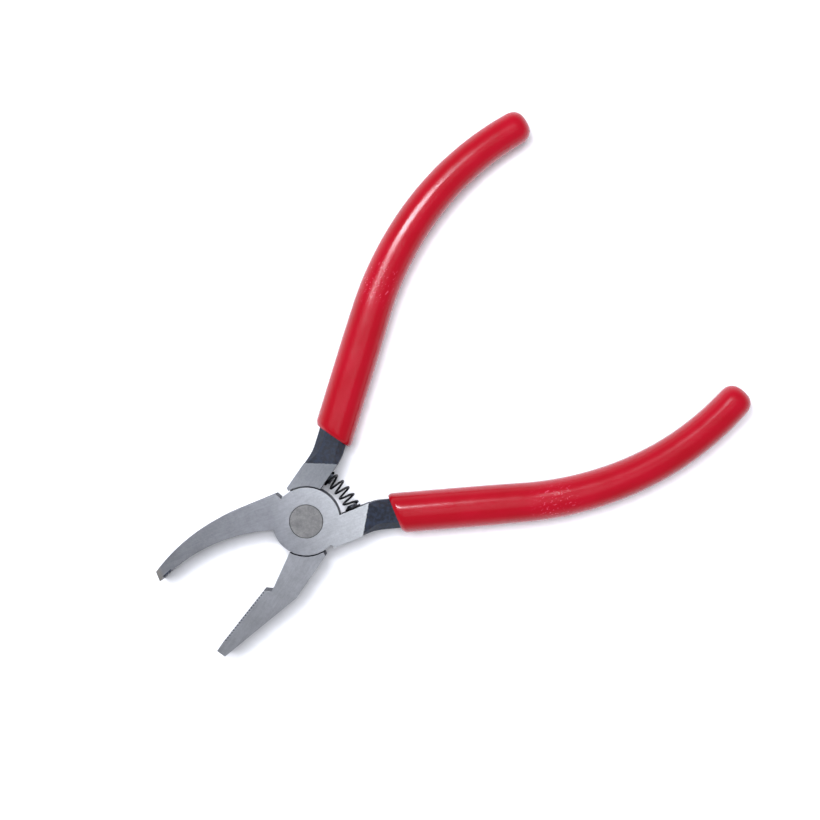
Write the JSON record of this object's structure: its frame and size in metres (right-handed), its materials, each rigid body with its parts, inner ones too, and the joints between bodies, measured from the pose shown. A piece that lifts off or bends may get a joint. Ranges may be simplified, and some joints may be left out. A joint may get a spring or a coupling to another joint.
{
  "type": "grozing pliers",
  "caption": "Spring-opened glass pliers with a flat toothed jaw, a bowed jaw, a riveted lap joint and dipped vinyl grips, for breaking and nibbling the edge of glass.",
  "frame": {"origin": "on the rivet's axis, in the underside of the head", "axes": "+Z along the rivet's axis, out of the head's upper face; +X along the bisector of the handles, from the pivot towards the handles"},
  "size_m": [0.1512, 0.104, 0.01],
  "materials": {
    "ground_steel": "fine ground and satin, blackened along the shank from the grinding line to the grip",
    "rivet_steel": "ground flush, a little duller than the head",
    "spring_wire": "black oxide spring wire, semi-gloss",
    "peg_steel": "turned steel",
    "dipped_vinyl": "dip-moulded soft vinyl, glossy"
  },
  "bodies": {
    "front_body": {"front_half": "ground_steel", "pivot_rivet": "rivet_steel", "return_spring": "spring_wire", "front_spring_peg": "peg_steel", "front_grip": "dipped_vinyl"},
    "back_body": {"back_half": "ground_steel", "back_spring_peg": "peg_steel", "back_grip": "dipped_vinyl"}
  },
  "joints": [
    {"name": "pivot", "type": "hinge", "parent": "front_body", "child": "back_body", "pos_m": [0, 0, 0.005], "axis": [0, 0, 1], "range_deg": [-33, 17], "stiffness_Nm_per_rad": 0.75, "deforming": ["return_spring"]}
  ]
}
